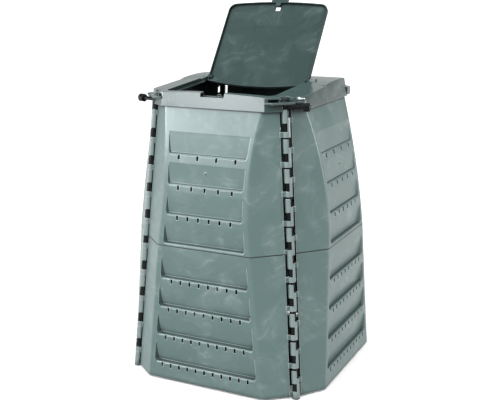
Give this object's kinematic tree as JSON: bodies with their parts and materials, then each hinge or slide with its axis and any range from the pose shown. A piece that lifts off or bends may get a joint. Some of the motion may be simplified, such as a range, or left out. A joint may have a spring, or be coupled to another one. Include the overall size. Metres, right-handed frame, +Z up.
{
  "type": "compost bin",
  "caption": "Tall square compost bin of hooked wall panels with louvred air slots, lift-out corner rods and a roof with a hinged filling lid, standing open.",
  "frame": {"origin": "on the ground, under the middle of the bin's square base", "axes": "+Z up, -Y to the front that the lid opens towards, +X to the bin's right side as it faces the viewer"},
  "size_m": [1, 1, 1.7001],
  "materials": {
    "wall_panels": "satin grey-green moulded plastic with faint flow marks",
    "roof": "satin grey-green moulded plastic",
    "lid": "satin dark grey-green moulded plastic",
    "rods": "satin black plastic",
    "hinge_pins": "satin dark plastic"
  },
  "bodies": {
    "bin": {"front_lower_panel": "wall_panels", "right_lower_panel": "wall_panels", "back_lower_panel": "wall_panels", "left_lower_panel": "wall_panels", "front_upper_panel": "wall_panels", "right_upper_panel": "wall_panels", "back_upper_panel": "wall_panels", "left_upper_panel": "wall_panels", "roof_front": "roof", "roof_rear": "roof", "hinge_pin_right": "hinge_pins", "hinge_pin_left": "hinge_pins"},
    "lid": {"lid": "lid"},
    "rod_front_right": {"rod_front_right": "rods", "knob_front_right": "rods"},
    "rod_front_left": {"rod_front_left": "rods", "knob_front_left": "rods"},
    "rod_rear_right": {"rod_rear_right": "rods", "knob_rear_right": "rods"},
    "rod_rear_left": {"rod_rear_left": "rods", "knob_rear_left": "rods"}
  },
  "joints": [
    {"name": "lid_hinge", "type": "hinge", "parent": "bin", "child": "lid", "pos_m": [0, 0.08, 1.33], "axis": [1, 0, 0], "range_deg": [0, 129.7]},
    {"name": "rod_front_right_lift", "type": "slide", "parent": "bin", "child": "rod_front_right", "axis": [-0.0742, 0.0742, 0.9945], "range_m": [0, 1.2]},
    {"name": "rod_front_left_lift", "type": "slide", "parent": "bin", "child": "rod_front_left", "axis": [0.0742, 0.0742, 0.9945], "range_m": [0, 1.2]},
    {"name": "rod_rear_right_lift", "type": "slide", "parent": "bin", "child": "rod_rear_right", "axis": [-0.0742, -0.0742, 0.9945], "range_m": [0, 1.2]},
    {"name": "rod_rear_left_lift", "type": "slide", "parent": "bin", "child": "rod_rear_left", "axis": [0.0742, -0.0742, 0.9945], "range_m": [0, 1.2]}
  ]
}
